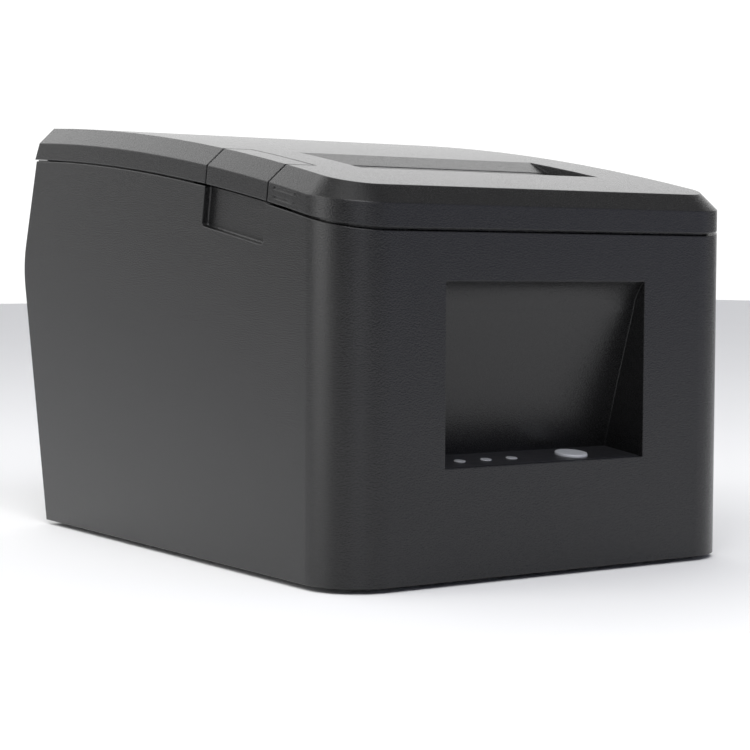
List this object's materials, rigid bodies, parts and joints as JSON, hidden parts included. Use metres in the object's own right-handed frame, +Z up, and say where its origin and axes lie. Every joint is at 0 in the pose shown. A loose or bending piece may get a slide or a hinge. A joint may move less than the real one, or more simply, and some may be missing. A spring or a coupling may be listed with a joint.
{
  "type": "receipt printer",
  "caption": "Desktop thermal receipt printer: a tall moulded box with a sloping hinged lid, a paper exit window, a side release lever and a control panel in a front alcove.",
  "frame": {"origin": "middle of the footprint, on the table under the feet", "axes": "+Z up, +Y towards the back, +X towards the printer's right side as seen from its front"},
  "size_m": [0.145, 0.2004, 0.1349],
  "materials": {
    "case_plastic": "fine spark-eroded texture",
    "lid_plastic": "fine spark-eroded texture",
    "panel_plastic": "smooth satin",
    "dark_plastic": "smooth",
    "lens": "frosted clear lens",
    "button_plastic": "satin grey",
    "foot_rubber": "matt",
    "platen_rubber": "ground",
    "steel": "zinc plated",
    "blade_steel": "ground",
    "screw_steel": "zinc plated",
    "aluminium": "extruded",
    "ceramic": "glazed strip with a black line",
    "gear_plastic": "moulded acetal",
    "brass": "turned",
    "pcb": "solder mask",
    "motor_can": "zinc plated",
    "socket_plastic": "glass filled",
    "socket_metal": "tin plated",
    "well_plastic": "satin"
  },
  "bodies": {
    "base": {"case": "case_plastic", "base_plate": "case_plastic", "feet": "foot_rubber", "base_screws": "screw_steel", "control_panel": "panel_plastic", "indicator_power": "lens", "indicator_error": "lens", "indicator_paper": "lens", "panel_board": "pcb", "tact_switch": "dark_plastic", "hinge_pins": "steel", "print_frame": "steel", "latch_studs": "steel", "frame_screws": "screw_steel", "head_pivot_pin": "steel", "head_springs": "steel", "feed_motor": "motor_can", "paper_guide": "dark_plastic", "cutter_frame": "steel", "cutter_motor": "motor_can", "cutter_cover": "dark_plastic", "paper_well": "well_plastic", "near_end_sensor": "socket_plastic", "paper_sensor": "socket_plastic", "main_board": "pcb", "board_screws": "screw_steel", "rear_panel": "dark_plastic", "power_switch": "socket_plastic", "power_inlet": "socket_plastic", "network_socket": "socket_metal", "usb_socket": "socket_metal", "serial_socket": "socket_metal", "drawer_socket": "socket_plastic"},
    "lid": {"lid": "lid_plastic", "paper_chute": "lid_plastic", "lever_pin": "steel", "lever_spring": "steel", "platen_carrier": "steel", "platen_bushes": "dark_plastic", "fixed_blade": "blade_steel", "tear_bar": "blade_steel", "carrier_screws": "screw_steel"},
    "lever": {"release_lever": "lid_plastic"},
    "latch": {"latch_shaft": "steel", "latch_hook_left": "steel", "latch_hook_right": "steel"},
    "platen": {"platen_shaft": "steel", "platen_rubber": "platen_rubber", "platen_gear": "gear_plastic"},
    "idler": {"idler_gear": "gear_plastic"},
    "feed_pinion": {"motor_pinion": "brass"},
    "head": {"head_bracket": "steel", "heat_sink": "aluminium", "thermal_head": "ceramic"},
    "blade": {"moving_blade": "blade_steel"},
    "blade_drive": {"cutter_shaft": "steel", "cutter_gear": "gear_plastic"},
    "blade_pinion": {"cutter_motor_pinion": "brass"},
    "button": {"feed_button": "button_plastic"},
    "rocker": {"power_rocker": "socket_plastic"}
  },
  "joints": [
    {"name": "lid_hinge", "type": "hinge", "parent": "base", "child": "lid", "pos_m": [0, 0.09102, 0.1239], "axis": [-1, 0, 0], "range_deg": [0, 90]},
    {"name": "lever_pivot", "type": "hinge", "parent": "lid", "child": "lever", "pos_m": [-0.0604, -0.04707, 0.1167], "axis": [0, 0.9855, 0.1699], "range_deg": [0, 12], "stiffness_Nm_per_rad": 0.15},
    {"name": "latch_pivot", "type": "hinge", "parent": "lid", "child": "latch", "pos_m": [0, -0.04138, 0.11324], "axis": [-1, 0, 0], "range_deg": [0, 12]},
    {"name": "platen_spin", "type": "hinge", "parent": "lid", "child": "platen", "pos_m": [0, -0.05278, 0.09497], "axis": [1, 0, 0], "continuous": true},
    {"name": "idler_spin", "type": "hinge", "parent": "base", "child": "idler", "pos_m": [0, -0.04881, 0.07864], "axis": [1, 0, 0], "continuous": true},
    {"name": "feed_pinion_spin", "type": "hinge", "parent": "base", "child": "feed_pinion", "pos_m": [0, -0.04568, 0.06582], "axis": [1, 0, 0], "continuous": true},
    {"name": "head_pivot", "type": "hinge", "parent": "base", "child": "head", "pos_m": [0, -0.06373, 0.07117], "axis": [1, 0, 0], "range_deg": [0, 1.5], "stiffness_Nm_per_rad": 6, "deforming": ["head_springs"]},
    {"name": "blade_slide", "type": "slide", "parent": "base", "child": "blade", "axis": [0, 0.9781, 0.2079], "range_m": [0, 0.005]},
    {"name": "blade_drive_spin", "type": "hinge", "parent": "base", "child": "blade_drive", "pos_m": [0, -0.08187, 0.09206], "axis": [1, 0, 0], "range_deg": [-72, 0]},
    {"name": "blade_pinion_spin", "type": "hinge", "parent": "base", "child": "blade_pinion", "pos_m": [0, -0.08325, 0.07933], "axis": [1, 0, 0], "range_deg": [0, 120]},
    {"name": "button_press", "type": "slide", "parent": "base", "child": "button", "axis": [0, -0.1097, 0.994], "range_m": [-0.0008, 0], "stiffness_N_per_m": 900},
    {"name": "rocker_tilt", "type": "hinge", "parent": "base", "child": "rocker", "pos_m": [-0.0515, 0.06882, 0.0205], "axis": [0, 0, 1], "range_deg": [-16, 0]}
  ],
  "couplings": [
    {"joint": "latch_pivot", "follows": "lever_pivot", "ratio": 1},
    {"joint": "idler_spin", "follows": "platen_spin", "ratio": -1.1},
    {"joint": "feed_pinion_spin", "follows": "platen_spin", "ratio": 1.6923},
    {"joint": "blade_drive_spin", "follows": "blade_slide", "rad_per_m": -250},
    {"joint": "blade_pinion_spin", "follows": "blade_slide", "rad_per_m": 416.67}
  ]
}
